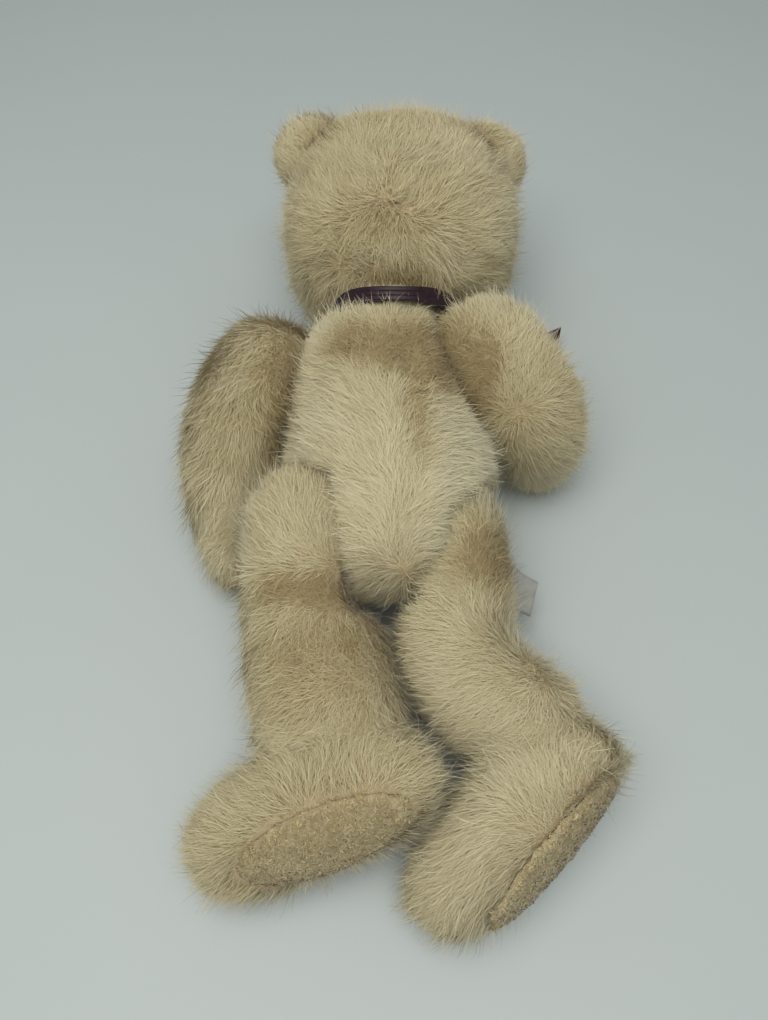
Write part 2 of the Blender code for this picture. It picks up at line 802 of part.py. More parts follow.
def thread_tube(name, points, radius):
    """A thick embroidery thread along layout points."""
    curve = bpy.data.curves.new(name, "CURVE")
    curve.dimensions = "3D"
    curve.bevel_depth = radius * MM
    curve.bevel_resolution = 1
    curve.use_fill_caps = True
    spline = curve.splines.new("POLY")
    spline.points.add(len(points) - 1)
    for target, point in zip(spline.points, points):
        target.co = (*vec(point), 1.0)
    outline = bpy.data.objects.new(name + "_line", curve)
    CUTTERS.objects.link(outline)
    return mesh_from_curve(name, outline, THREAD, NECK.empty)


def build_mouth():
    """The stitched line under the nose and the smile below it."""
    x0 = MUZZLE_CENTRE[0]
    lift = 1.3
    upright = [on_muzzle(x0, y, lift) for y in (108.0, 105.5, 103.0)]
    thread_tube("mouth_upright", upright, 0.6)
    smile = []
    for i in range(9):
        across = -9.0 + 18.0 * i / 8
        rise = 3.5 * (across / 9.0) ** 2
        smile.append(on_muzzle(x0 + across, 100.0 + rise, lift))
    thread_tube("mouth_smile", smile, 0.6)


# ---------------------------------------------------------------- ribbon and label

def strip_mesh(name, rows, thickness):
    """A closed ribbon through rows of (middle point, edge direction, half width) in layout units."""
    mesh = bpy.data.meshes.new(name)
    bm = bmesh.new()
    middles = [vec(row[0]) for row in rows]
    last = len(rows) - 1
    rings = []
    for i, (_, edge, half_width) in enumerate(rows):
        along = (middles[min(i + 1, last)] - middles[max(i - 1, 0)]).normalized()
        across = Vector(edge)
        across = (across - along * across.dot(along)).normalized() * half_width * MM
        through = along.cross(across).normalized() * thickness / 2 * MM
        corners = (across + through, through - across, -across - through, across - through)
        rings.append([bm.verts.new(middles[i] + corner) for corner in corners])
    for ring, following in zip(rings, rings[1:]):
        for k in range(4):
            j = (k + 1) % 4
            bm.faces.new((ring[k], ring[j], following[j], following[k]))
    bm.faces.new(reversed(rings[0]))
    bm.faces.new(rings[-1])
    bmesh.ops.recalc_face_normals(bm, faces=bm.faces)
    bm.to_mesh(mesh)
    bm.free()
    return mesh


def build_band():
    """The ribbon round the neck, in the groove between head and torso."""
    half = BAND_WIDTH / 2
    profile = (
        (BAND_RADIUS + RIBBON_THICKNESS, half),
        (BAND_RADIUS + RIBBON_THICKNESS, -half),
        (BAND_RADIUS, -half),
        (BAND_RADIUS, half),
    )
    obj = add_object("ribbon_band", turned_mesh("ribbon_band", profile, True), SATIN)
    centre = (NECK_POINT[0], NECK_POINT[1] - GAP - BAND_WIDTH / 2, NECK_POINT[2])
    obj.matrix_world = facing(NECK_OUT, centre)
    add_screw(obj, 28)
    hang_on(obj, ROOT)


def build_bow():
    """The bow under the chin: a knot, two loops and two tails that lie out on the floor."""
    knot_centre = (NECK_POINT[0], NECK_POINT[1] - 1.0, 15.5)
    knot = ellipsoid_mesh("ribbon_knot", (7.0, 6.0, 6.5), 16, 10)
    obj = add_object("ribbon_knot", knot, SATIN)
    obj.location = vec(knot_centre)
    hang_on(obj, ROOT)
    for name, sign in (("left", -1.0), ("right", 1.0)):
        x0 = knot_centre[0] + sign * 7.6
        build_loop(f"ribbon_loop_{name}", x0, knot_centre[1], sign)
    build_tail("ribbon_tail_left", TAIL_LEFT)
    build_tail("ribbon_tail_right", TAIL_RIGHT)


def build_loop(name, x0, y0, sign):
    """One loop of the bow: a ribbon that runs out, turns over and comes back."""
    length = 30.0
    height = 4.5
    rows = []
    count = 14
    for i in range(count + 1):
        angle = -math.pi * 0.92 + math.tau * 0.92 * i / count
        x = x0 + sign * (length / 2 + length / 2 * math.cos(angle))
        z = 13.5 + height * math.sin(angle)
        half_width = 4.0 + 3.0 * (0.5 + 0.5 * math.cos(angle))
        rows.append(((x, y0 + 3.0, z), (0.0, 1.0, 0.0), half_width))
    obj = add_object(name, strip_mesh(name, rows, RIBBON_THICKNESS), SATIN)
    hang_on(obj, ROOT)


def build_tail(name, points):
    """One tail of the bow, widening from the knot to its full width."""
    rows = []
    for i, point in enumerate(points):
        half_width = TAIL_START_HALF_WIDTHS[i] if i < 2 else RIBBON_WIDTH / 2
        rows.append((point, (0.0, 1.0, 0.0), half_width))
    obj = add_object(name, strip_mesh(name, rows, RIBBON_THICKNESS), SATIN)
    hang_on(obj, ROOT)


def build_label():
    """The folded care label sewn into the outer seam of the right thigh."""
    rows = (
        ((55.8, -57.5, 27.0), (0.25, 0.9, 0.3), 9.0),
        ((59.5, -60.0, 23.5), (0.25, 0.9, 0.3), 9.0),
        ((66.5, -62.0, 19.0), (0.25, 0.9, 0.3), 9.0),
    )
    mesh = strip_mesh("care_label", rows, 0.8)
    add_part("care_label", mesh, LABEL, HIP_RIGHT.empty)


# ---------------------------------------------------------------- assembly

build_torso()
build_head()
build_ear("ear_left", (-37.0, 163.5, 74.0), Matrix.Rotation(0.5, 4, "Z") @ Matrix.Rotation(0.5, 4, "X"))
build_ear("ear_right", (54.5, 161.5, 72.0), Matrix.Rotation(-0.6, 4, "Z") @ Matrix.Rotation(0.5, 4, "X"))
build_nose()
build_mouth()
Limb("arm_left", ARM_LEFT, SHOULDER_LEFT, SHOULDER_LEFT_PRESS).build()
Limb("arm_right", ARM_RIGHT, SHOULDER_RIGHT, SHOULDER_RIGHT_PRESS, Vector((1, 1, 1))).build()
Limb(
    "leg_left", LEG_LEFT, HIP_LEFT, HIP_SOCKET_RADIUS, UP, FOOT_LEFT, (SOLE_LEFT_POINT, SOLE_LEFT_OUT)
).build()
Limb(
    "leg_right",
    LEG_RIGHT,
    HIP_RIGHT,
    HIP_SOCKET_RADIUS,
    UP,
    FOOT_RIGHT,
    (SOLE_RIGHT_POINT, SOLE_RIGHT_OUT),
).build()
oval_pad(
    "foot_pad_left", HIP_LEFT.empty, SOLE_LEFT_POINT, SOLE_LEFT_OUT, (0.86, 0.34, 0.37), 36.0, 16.0
)
oval_pad(
    "foot_pad_right", HIP_RIGHT.empty, SOLE_RIGHT_POINT, SOLE_RIGHT_OUT, (0.75, 0.62, 0.2), 36.0, 16.0
)
for joint in JOINTS:
    joint.build()
build_band()
build_bow()
build_label()
bpy.context.view_layer.update()
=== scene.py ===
"""Looks of the jointed teddy bear: sewn skins, pile, foot pads, ribbon, label and face.

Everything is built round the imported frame. Each skin is made from the outside of its CAD
nodes, and every strand of pile grows from a skin, so a change to the frame carries through.
Lengths are metres, written as a number of millimetres times MM.
"""

import json
import math

import bmesh
import bpy
import numpy as np
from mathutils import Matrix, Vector
from mathutils.bvhtree import BVHTree
from mathutils.kdtree import KDTree


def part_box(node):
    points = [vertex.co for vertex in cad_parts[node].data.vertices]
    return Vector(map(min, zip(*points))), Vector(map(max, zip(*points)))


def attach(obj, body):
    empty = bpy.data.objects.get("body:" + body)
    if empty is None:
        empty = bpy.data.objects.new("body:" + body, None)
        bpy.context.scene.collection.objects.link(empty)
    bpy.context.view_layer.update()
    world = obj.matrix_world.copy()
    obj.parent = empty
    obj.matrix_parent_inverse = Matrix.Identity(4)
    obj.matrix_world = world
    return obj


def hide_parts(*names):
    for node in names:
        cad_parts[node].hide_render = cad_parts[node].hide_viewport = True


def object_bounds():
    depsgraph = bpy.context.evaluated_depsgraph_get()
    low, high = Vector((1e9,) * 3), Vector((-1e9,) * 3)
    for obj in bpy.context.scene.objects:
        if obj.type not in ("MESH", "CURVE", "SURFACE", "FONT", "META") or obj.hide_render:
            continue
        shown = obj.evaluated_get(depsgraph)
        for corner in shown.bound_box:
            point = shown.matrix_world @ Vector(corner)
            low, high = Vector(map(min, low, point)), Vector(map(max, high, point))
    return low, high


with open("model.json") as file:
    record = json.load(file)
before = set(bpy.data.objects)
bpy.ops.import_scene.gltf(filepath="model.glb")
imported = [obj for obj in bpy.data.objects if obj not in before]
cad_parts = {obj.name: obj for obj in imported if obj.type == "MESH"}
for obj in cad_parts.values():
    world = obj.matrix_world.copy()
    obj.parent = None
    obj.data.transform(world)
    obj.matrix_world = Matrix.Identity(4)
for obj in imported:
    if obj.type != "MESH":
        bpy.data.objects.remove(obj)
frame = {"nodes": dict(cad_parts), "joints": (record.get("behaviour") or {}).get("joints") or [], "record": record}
CAD_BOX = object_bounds()

MM = 0.001
SEED = 20

# Pile
STRANDS_PER_MM2 = 3.1
PILE_LENGTH = 10 * MM
EAR_PILE_LENGTH = 8 * MM
STRAND_WIDTH = 0.20 * MM
STRAND_STEPS = 3
STRAND_TAPER = (1.0, 0.95, 0.7)  # share of the width at each row of points
LENGTH_SPREAD = (0.7, 1.2)
WIDTH_SPREAD = (0.7, 1.3)
LEAST_LENGTH = 1.2 * MM  # shorter strands are left out
LIFT_SPREAD = 12  # degrees
TWIST_SPREAD = 35  # degrees
ROOT_DEPTH = 0.4 * MM
STRANDS_PER_PIECE = 38000
LEAST_ROOM = 0.5 * MM
FARTHEST_ROOM = 14 * MM
ROOM_USED = 0.9
EDGE_REACH = 8 * MM  # how far from a pad or ribbon the pile starts to stand up
EDGE_FADE = 1.5 * MM
EDGE_LIFT = 22  # degrees
GUARD_SHARE = 0.06  # longer strands that stand out of the rest
GUARD_LENGTH = 1.45
GUARD_LIFT = (20, 16)  # degrees at root and tip
CLUMP_SHARE = 0.035  # one strand in this share leads a lock that its neighbours lean to
MATTED_SHORTER = 0.35
# how much darker felted pile is, which also sets the painted shade in creases, gaps and at the ear bases
MATTED_AND_SHADE_DARKER = 0.9
MATTED_CURL = 1.6
TONE_SPREAD = 0.10
# painted shade: each strand's root step takes the next darker tone, standing for the shade deep in the pile
ROOT_TONES = (-1, 0, 0)  # each strand's first step is one tone darker
STRAND_OVERHANG = 9 * MM  # how far past the CAD box the strands may reach

# Skins, stuffing and face
SKIN_VOXEL = 2.4 * MM
SKIN_SMOOTHING = 6
EAR_VOXEL = 1.2 * MM
EAR_SWELL = 1.15
FILLING_DEPTH = 2.6 * MM
FILLING_LUMPS = 0.4 * MM
CROWN_DROP = 7 * MM
THREAD_PITCH = 1.1 * MM
THREAD_RIDGE = 0.3 * MM
THREAD_FUZZ = 0.06 * MM

# Foot pads
PAD_VOXEL = 0.9 * MM
PAD_RISE = 2.6 * MM
PAD_RIM_SINK = 1.0 * MM
PAD_NUBS = 0.22 * MM
NUB_LENGTH = 3 * MM
NUB_WIDTH = 0.42 * MM

# Ribbon and label
RIBBON_THICKNESS = 0.3 * MM
RIBBON_HALF_WIDTH = 7.6 * MM
BAND_WIDTH = 13.5 * MM
BAND_AROUND = 180
BAND_ACROSS = 15
BAND_GAP = 1.4 * MM
LOOP_ALONG = 36
STRIP_ACROSS = 11
ABOVE_FLOOR = 0.4 * MM
LABEL_THICKNESS = 0.2 * MM
LABEL_HALF_WIDTH = 8 * MM

# Table, light and camera
FLOOR_HALF = 3.0
SURROUND_COLOUR = (0.80, 0.86, 0.90, 1.0)
SURROUND_STRENGTH = 0.46
CAMERA_LENS = 27.04
CAMERA_SENSOR = 36.0
CAMERA_PLACE = (-0.0017, -0.1933, 0.341)
CAMERA_TILT = 29.0  # degrees from straight down

JOINT_PLACES = ("neck", "shoulder_left", "shoulder_right", "hip_left", "hip_right")
TORSO_NODES = ["torso_skin", "torso_stuffing"] + [f"{place}_washer" for place in JOINT_PLACES]
HEAD_NODES = ["head_skin", "head_stuffing", "neck_stud", "eye_washer_left", "eye_washer_right"]
FACE_NODES = ["eye_left", "eye_right", "nose", "mouth_upright", "mouth_smile"]

# Tones of the pile, from the dark ochre of painted shade at the roots and in creases to the pale tips
TONES = (
    (0.38, 0.29, 0.14),
    (0.53, 0.44, 0.24),
    (0.61, 0.53, 0.32),
    (0.67, 0.60, 0.39),
    (0.72, 0.66, 0.45),
)

# Where handling has felted the pile, and where painted shade darkens the creases, the gap by the left arm and the
# ear bases: centre and radii in millimetres, and how much
MATTED_AND_SHADE = (
    ((14, 27, 84), (24, 17, 30), 1.0),
    ((-12, 34, 80), (12, 12, 30), 0.7),
    ((30, 20, 80), (8, 13, 26), 0.9),
    ((9, 0, 84), (4, 30, 20), 0.5),
    # painted shade in the elbow crease
    ((43, 22, 72), (6, 15, 20), 0.8),
    # painted shade in the thigh crease
    ((-22, -76, 72), (22, 5, 24), 0.7),
    ((-22, -100, 66), (22, 20, 24), 0.3),
    ((42, -62, 62), (10, 12, 20), 0.6),
    # painted shade where the ears meet the head, here and in the next entry
    ((-31, 156, 86), (8, 8, 12), 0.7),
    ((46, 156, 86), (9, 8, 12), 0.7),
    # painted shade in the gap between the left arm and the body
    ((-45, 20, 60), (9, 40, 30), 0.4),
    ((4, 76, 82), (12, 5, 10), 0.5),
)

# Grooves pressed into the skins: points in millimetres, depth and half width
BACK_SEAM = (((10, 60, 84), (9.7, 39, 84), (6.7, -24, 84), (6.3, -66, 70)), 1.5, 3.5)
THIGH_CREASE = (((-42, -70, 66), (-34, -74, 74), (-20, -76, 76), (-5, -73, 72), (4, -66, 62)), 1.6, 5.0)
ELBOW_CREASE = (((40, 40, 72), (45, 28, 74), (47, 14, 72), (44, 2, 62)), 1.6, 5.0)

# The two tails of the bow, from the knot outwards, in millimetres
TAIL_LEFT = ((-6, 73, 7.5), (-24, 77, 4), (-52, 81, 2.5), (-77, 81, 2.5), (-97, 79, 3.5))
TAIL_RIGHT = ((12, 74, 7.5), (30, 77, 4), (54, 85, 2.5), (77, 94, 4), (101, 101, 11))

# The middle of the care label, from its seam outwards, in millimetres
LABEL_PATH = ((54.1, -55.8, 27.0), (57.8, -58.3, 23.5), (65.2, -60.4, 18.8))


# ---------------------------------------------------------------- places taken from the frame

def corner_box(node):
    """A node's lowest and highest corners as numpy arrays."""
    low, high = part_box(node)
    return np.array(low), np.array(high)


def joint_named(name):
    """One joint of the record."""
    return next(joint for joint in frame["joints"] if joint["name"] == name)


# No strand reaches beyond these corners or through the floor
LOWEST = np.array(CAD_BOX[0]) - STRAND_OVERHANG
LOWEST[2] = 0.3 * MM
HIGHEST = np.array(CAD_BOX[1]) + STRAND_OVERHANG
HEAD_LOW, HEAD_HIGH = corner_box("head_skin")
HEAD_MIDDLE = (HEAD_LOW + HEAD_HIGH) / 2
_, TORSO_HIGH = corner_box("torso_skin")
NECK = np.array(joint_named("neck_swivel")["pos_m"])


# ---------------------------------------------------------------- small node-building helpers

def new_material(name):
    """A material with nodes, its tree and its Principled shader."""
    material = bpy.data.materials.new(name)
    material.use_nodes = True
    return material, material.node_tree, material.node_tree.nodes["Principled BSDF"]


def noise(tree, scale, detail=4.0, roughness=0.6, stretch=(1, 1, 1)):
    """Noise over the object's own coordinates, in repeats per metre."""
    place = tree.nodes.new("ShaderNodeTexCoord")
    mapping = tree.nodes.new("ShaderNodeMapping")
    mapping.inputs["Scale"].default_value = stretch
    texture = tree.nodes.new("ShaderNodeTexNoise")
    texture.inputs["Scale"].default_value = scale
    texture.inputs["Detail"].default_value = detail
    texture.inputs["Roughness"].default_value = roughness
    tree.links.new(place.outputs["Object"], mapping.inputs["Vector"])
    tree.links.new(mapping.outputs["Vector"], texture.inputs["Vector"])
    return texture.outputs["Fac"]


def ramp(tree, value, stops):
    """A colour ramp over a value; stops are (position, linear colour)."""
    node = tree.nodes.new("ShaderNodeValToRGB")
    elements = node.color_ramp.elements
    while len(elements) < len(stops):
        elements.new(0.5)
    for element, (position, colour) in zip(elements, stops):
        element.position = position
        element.color = (*colour, 1.0)
    tree.links.new(value, node.inputs["Fac"])
    return node.outputs["Color"]


def level(tree, value, low, high):
    """A value between 0 and 1 spread from low to high."""
    node = tree.nodes.new("ShaderNodeMapRange")
    node.inputs["To Min"].default_value = low
    node.inputs["To Max"].default_value = high
    tree.links.new(value, node.inputs["Value"])
    return node.outputs["Result"]


def bump(tree, shader, height, strength, distance):
    """Drive the shader's normal from a height."""
    node = tree.nodes.new("ShaderNodeBump")
    node.inputs["Strength"].default_value = strength
    node.inputs["Distance"].default_value = distance
    tree.links.new(height, node.inputs["Height"])
    tree.links.new(node.outputs["Normal"], shader.inputs["Normal"])


def mottled(name, low, high, scale, rough=(0.5, 0.8), bump_scale=0.0, bump_depth=0.0, **sockets):
    """A material whose colour and roughness wander between two values, with a fine bump."""
    material, tree, shader = new_material(name)
    wander = noise(tree, scale)
    tree.links.new(ramp(tree, wander, ((0.3, low), (0.7, high))), shader.inputs["Base Color"])
    tree.links.new(level(tree, wander, *rough), shader.inputs["Roughness"])
    if bump_depth:
        bump(tree, shader, noise(tree, bump_scale, 3.0), 0.6, bump_depth)
    for socket, value in sockets.items():
        shader.inputs[socket.replace("_", " ")].default_value = value
    return material


# ---------------------------------------------------------------- materials

def pile_material(name, colour):
    """One tone of pile: plain sockets, because the tones themselves make the variation."""
    material, _, shader = new_material(name)
    shader.inputs["Base Color"].default_value = (*colour, 1.0)
    shader.inputs["Roughness"].default_value = 0.75
    shader.inputs["Specular IOR Level"].default_value = 0.25
    shader.inputs["Sheen Weight"].default_value = 0.25
    shader.inputs["Sheen Roughness"].default_value = 0.5
    return material


PILE_MATERIALS = [pile_material(f"pile_tone_{i}", tone) for i, tone in enumerate(TONES)]
# The backing takes the dark ochre of the pile's depth, not the pale cloth's own colour: painted shade where it
# shows between strands; the mottling is the knit.
BACKING = mottled(
    "plush_backing", (0.40, 0.31, 0.17), (0.56, 0.46, 0.28), 260, (0.8, 0.95), 1800, 0.4 * MM
)
FILLING = mottled(
    "fibre_filling", (0.72, 0.72, 0.70), (0.88, 0.88, 0.86), 220, (0.85, 1.0), 900, 0.8 * MM
)
JOINT_PLASTIC = mottled(
    "joint_plastic", (0.80, 0.79, 0.73), (0.87, 0.86, 0.81), 60, (0.38, 0.5), 700, 0.03 * MM
)
# The pad cloth is darker than the cream pile: painted shade, as the pads face down, away from the light overhead.
PAD_CLOTH = mottled(
    "pad_cloth", (0.34, 0.27, 0.15), (0.46, 0.39, 0.24), 420, (0.8, 0.95), 1500, 0.5 * MM
)
SATIN = mottled(
    "ribbon_satin", (0.011, 0.003, 0.006), (0.030, 0.008, 0.016), 180, (0.4, 0.55), 2600, 0.05 * MM,
    Specular_IOR_Level=0.35,
)
LABEL_SATIN = mottled(
    "label_satin", (0.29, 0.29, 0.26), (0.38, 0.38, 0.34), 240, (0.35, 0.5), 3000, 0.04 * MM
)
THREAD = mottled(
    "nose_thread", (0.030, 0.020, 0.014), (0.070, 0.048, 0.034), 900, (0.45, 0.6), 2400, 0.1 * MM
)
EYE_PLASTIC = mottled(
    "eye_plastic", (0.010, 0.007, 0.005), (0.018, 0.012, 0.008), 80, (0.06, 0.12), 500, 0.005 * MM,
    Coat_Weight=0.8,
)
LOCK_STEEL = mottled(
    "lock_steel", (0.55, 0.55, 0.56), (0.70, 0.70, 0.71), 300, (0.25, 0.42), 1500, 0.02 * MM,
    Metallic=1.0,
)


# ---------------------------------------------------------------- meshes

def add_object(name, mesh, *materials):
    """Link a mesh as a named object carrying materials."""
    obj = bpy.data.objects.new(name, mesh)
    bpy.context.scene.collection.objects.link(obj)
    for material in materials:
        mesh.materials.append(material)
    return obj


def apply_modifiers(obj):
    """Replace the mesh by what its modifiers make of it."""
    bpy.context.view_layer.update()
    graph = bpy.context.evaluated_depsgraph_get()
    mesh = bpy.data.meshes.new_from_object(obj.evaluated_get(graph))
    obj.modifiers.clear()
    obj.data = mesh


def outside_of(name, nodes, voxel, smoothing):
    """The closed outer surface of some CAD nodes, as one evenly divided mesh."""
    bm = bmesh.new()
    for node in nodes:
        bm.from_mesh(frame["nodes"][node].data)
    mesh = bpy.data.meshes.new(name)
    bm.to_mesh(mesh)
    bm.free()
    mesh.materials.clear()
    obj = add_object(name, mesh)
    remesh = obj.modifiers.new("remesh", "REMESH")
    remesh.mode = "VOXEL"
    remesh.voxel_size = voxel
    smooth = obj.modifiers.new("smooth", "SMOOTH")
    smooth.factor = 0.5
    smooth.iterations = smoothing
    apply_modifiers(obj)
    keep_largest_part(obj.data)
    obj.data.shade_smooth()
    return obj


def keep_largest_part(mesh):
    """Delete every loose part of a mesh but the one with the most faces."""
    bm = bmesh.new()
    bm.from_mesh(mesh)
    unseen = set(bm.verts)
    parts = []
    while unseen:
        stack = [unseen.pop()]
        part = list(stack)
        while stack:
            for edge in stack.pop().link_edges:
                for vertex in edge.verts:
                    if vertex in unseen:
                        unseen.remove(vertex)
                        stack.append(vertex)
                        part.append(vertex)
        parts.append(part)
    parts.sort(key=len)
    for part in parts[:-1]:
        bmesh.ops.delete(bm, geom=part, context="VERTS")
    bm.to_mesh(mesh)
    bm.free()


def points_of(mesh):
    """Vertex places and normals as arrays."""
    count = len(mesh.vertices)
    places = np.empty(count * 3)
    normals = np.empty(count * 3)
    mesh.vertices.foreach_get("co", places)
    mesh.vertices.foreach_get("normal", normals)
    return places.reshape(-1, 3), normals.reshape(-1, 3)


def move_points(mesh, places):
    """Put a mesh's vertices at new places."""
    mesh.vertices.foreach_set("co", places.ravel())
    mesh.update()


def stand_for(piece, body, node):
    """Make a piece ride a body and show in place of a CAD node."""
    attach(piece, body)
    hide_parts(node)


def triangles_of(mesh):
    """Corner indices of the mesh's triangles."""
    mesh.calc_loop_triangles()
    corners = np.empty(len(mesh.loop_triangles) * 3, dtype=np.int64)
    mesh.loop_triangles.foreach_get("vertices", corners)
    return corners.reshape(-1, 3)


def unit(vectors):
    """Vectors scaled to length one."""
    return vectors / np.maximum(np.linalg.norm(vectors, axis=-1, keepdims=True), 1e-12)


def waves(places, scale, seed):
    """Smooth noise from -1 to 1 over places, with bumps about scale across."""
    rng = np.random.default_rng(seed)
    total = np.zeros(len(places))
    for _ in range(7):
        direction = unit(rng.normal(size=3)) * rng.uniform(0.6, 1.5) * math.tau / scale / 2
        total += np.sin(places @ direction + rng.uniform(0, math.tau))
    return total / 3.2


# ---------------------------------------------------------------- pile

def surface_tree(objects):
    """A search tree over the surfaces of some objects."""
    corners = []
    faces = []
    for obj in objects:
        faces.extend((triangles_of(obj.data) + len(corners)).tolist())
        corners.extend(points_of(obj.data)[0].tolist())
    return BVHTree.FromPolygons(corners, faces)


def other_skins(body):
    """The CAD skins and ribbon of every body but one."""
    own = frame["record"]["behaviour"]["bodies"][body]
    others = [node for node in frame["nodes"] if node not in own]
    return [frame["nodes"][node] for node in others if node.endswith(("_skin", "band"))]


def room_above(roots, normals, body):
    """How far each root's normal runs before it meets another body or the floor."""
    tree = surface_tree(other_skins(body))
    room = np.full(len(roots), FARTHEST_ROOM)
    for i, (root, normal) in enumerate(zip(roots.tolist(), normals.tolist())):
        distance = tree.ray_cast(root, normal, FARTHEST_ROOM)[3]
        if distance is not None:
            room[i] = distance
    sinking = normals[:, 2] < -0.05
    floor = np.where(sinking, roots[:, 2] / np.where(sinking, -normals[:, 2], 1.0), FARTHEST_ROOM)
    return np.maximum(np.minimum(room, floor), LEAST_ROOM)


def scatter(mesh, density, rng):
    """Random places on a mesh with their normals, density to the square millimetre."""
    places, normals = points_of(mesh)
    corners = triangles_of(mesh)
    a, b, c = (places[corners[:, i]] for i in range(3))
    areas = np.linalg.norm(np.cross(b - a, c - a), axis=1) / 2
    count = int(areas.sum() / MM**2 * density)
    picked = rng.choice(len(corners), size=count, p=areas / areas.sum())
    u, v = rng.random(count), rng.random(count)
    over = u + v > 1
    u[over], v[over] = 1 - u[over], 1 - v[over]
    weights = np.stack([1 - u - v, u, v], axis=1)[:, :, None]
    roots = (places[corners[picked]] * weights).sum(axis=1)
    outward = unit((normals[corners[picked]] * weights).sum(axis=1))
    return roots, outward


def leaders(roots, rng):
    """For each root, the index of the strand that leads its lock."""
    leading = rng.choice(len(roots), size=max(int(len(roots) * CLUMP_SHARE), 1), replace=False)
    tree = KDTree(len(leading))
    for i in leading.tolist():
        tree.insert(roots[i], i)
    tree.balance()
    return np.array([tree.find(root)[1] for root in roots.tolist()])


def matting_and_shade(places):
    """How far the pile at each place is felted by handling and darkened by painted shade in creases and gaps, from
    0 for combed to 1.
    """
    matted_and_shade = np.zeros(len(places))
    for centre, radii, amount in MATTED_AND_SHADE:
        away = np.linalg.norm((places / MM - np.array(centre)) / np.array(radii), axis=1)
        matted_and_shade = np.maximum(matted_and_shade, amount * np.minimum(1.6 * np.exp(-(away**2)), 1.0))
    return matted_and_shade


def clearance(places, objects, margin, fade):
    """0 within margin of some objects, rising to 1 at fade beyond it."""
    if not objects:
        return np.ones(len(places))
    tree = surface_tree(objects)
    away = np.array([tree.find_nearest(place)[3] for place in places.tolist()])
    return np.clip((away - margin) / fade, 0.0, 1.0)


def combed_directions(roots, normals, comb, wander, unrest, matted_and_shade, rng):
    """The way each strand runs along the skin, and the way across it."""
    along = comb(roots, normals) + rng.normal(0, 0.10, roots.shape)
    for share, size, first in ((1, 24 * MM, 31), (0.5, 9 * MM, 34)):
        patches = np.stack([waves(roots, size, SEED + first + k) for k in range(3)], axis=1)
        along = along + unrest * share * patches
    along = unit(along - normals * (along * normals).sum(axis=1, keepdims=True))
    across = np.cross(normals, along)
    straying = rng.normal(0, wander + 35 * matted_and_shade)
    stray = np.radians(straying + (18 + 60 * matted_and_shade) * waves(roots, 16 * MM, SEED + 3))
    cosine = np.cos(stray)[:, None]
    sine = np.sin(stray)[:, None]
    return along * cosine + across * sine, across * cosine - along * sine


def strand_path(roots, normals, along, across, root_lift, tip_lift, curls, reach):
    """Points along every strand, from under the skin to the tip."""
    path = [roots - normals * ROOT_DEPTH]
    for step in range(STRAND_STEPS):
        share = (step + 0.5) / STRAND_STEPS
        rise = root_lift + (tip_lift - root_lift) * share
        turn = curls * share
        flat = along * np.cos(turn)[:, None] + across * np.sin(turn)[:, None]
        direction = flat * np.cos(rise)[:, None] + normals * np.sin(rise)[:, None]
        path.append(path[-1] + direction * (reach / STRAND_STEPS)[:, None])
    return path


def gather_locks(path, roots, guard, clump, rng):
    """Pull every strand but the guards towards the leader of its lock."""
    lead = leaders(roots, rng)
    pull = np.where(guard, 0.0, clump * rng.uniform(0.4, 1.0, len(roots)))
    for step in range(1, STRAND_STEPS + 1):
        share = (step / STRAND_STEPS) ** 1.5
        path[step] += (path[step][lead] - path[step]) * (pull * share)[:, None]


def press_down(path, roots, normals, room):
    """Flatten strands that would reach into another body, the floor or past the limits."""
    height = ((path[-1] - roots) * normals).sum(axis=1)
    squeeze = np.clip(room / np.maximum(height, 1e-6), 0.0, 1.0)
    for step in range(1, STRAND_STEPS + 1):
        above = ((path[step] - roots) * normals).sum(axis=1)
        path[step] -= normals * (above * (1 - squeeze))[:, None]
        path[step] = np.clip(path[step], LOWEST, HIGHEST)


def flat_strands(path, normals, width, rng):
    """Rows of points across flat tapered strands, and the way each strand faces."""
    count = len(normals)
    twist = np.radians(rng.uniform(-TWIST_SPREAD, TWIST_SPREAD, count))[:, None]
    widths = width * rng.uniform(*WIDTH_SPREAD, count)[:, None]
    rows = []
    for step in range(STRAND_STEPS):
        direction = unit(path[step + 1] - path[step])
        side = unit(np.cross(direction, normals))
        side = side * np.cos(twist) + np.cross(side, direction) * np.sin(twist)
        half = side * widths / 2 * STRAND_TAPER[step]
        rows.extend((path[step] - half, path[step] + half))
    rows.append(path[-1])
    facing = unit(normals + 0.25 * unit(np.cross(side, unit(path[-1] - path[0]))))
    return rows, unit(facing + rng.normal(0, 0.09, (count, 3)))


def strand_tones(roots, tone, matted_and_shade, rng):
    """Which tone each strand takes."""
    patches = 0.08 * waves(roots, 34 * MM, SEED + 5) + 0.05 * waves(roots, 9 * MM, SEED + 6)
    # felted pile is darker, and creases, gaps and the ear bases take painted shade; the patches are random tone
    shade = tone - MATTED_AND_SHADE_DARKER * matted_and_shade + patches
    tones = (shade + rng.normal(0, TONE_SPREAD, len(roots))) * len(TONES)
    return np.clip(tones, 0, len(TONES) - 1).astype(int)


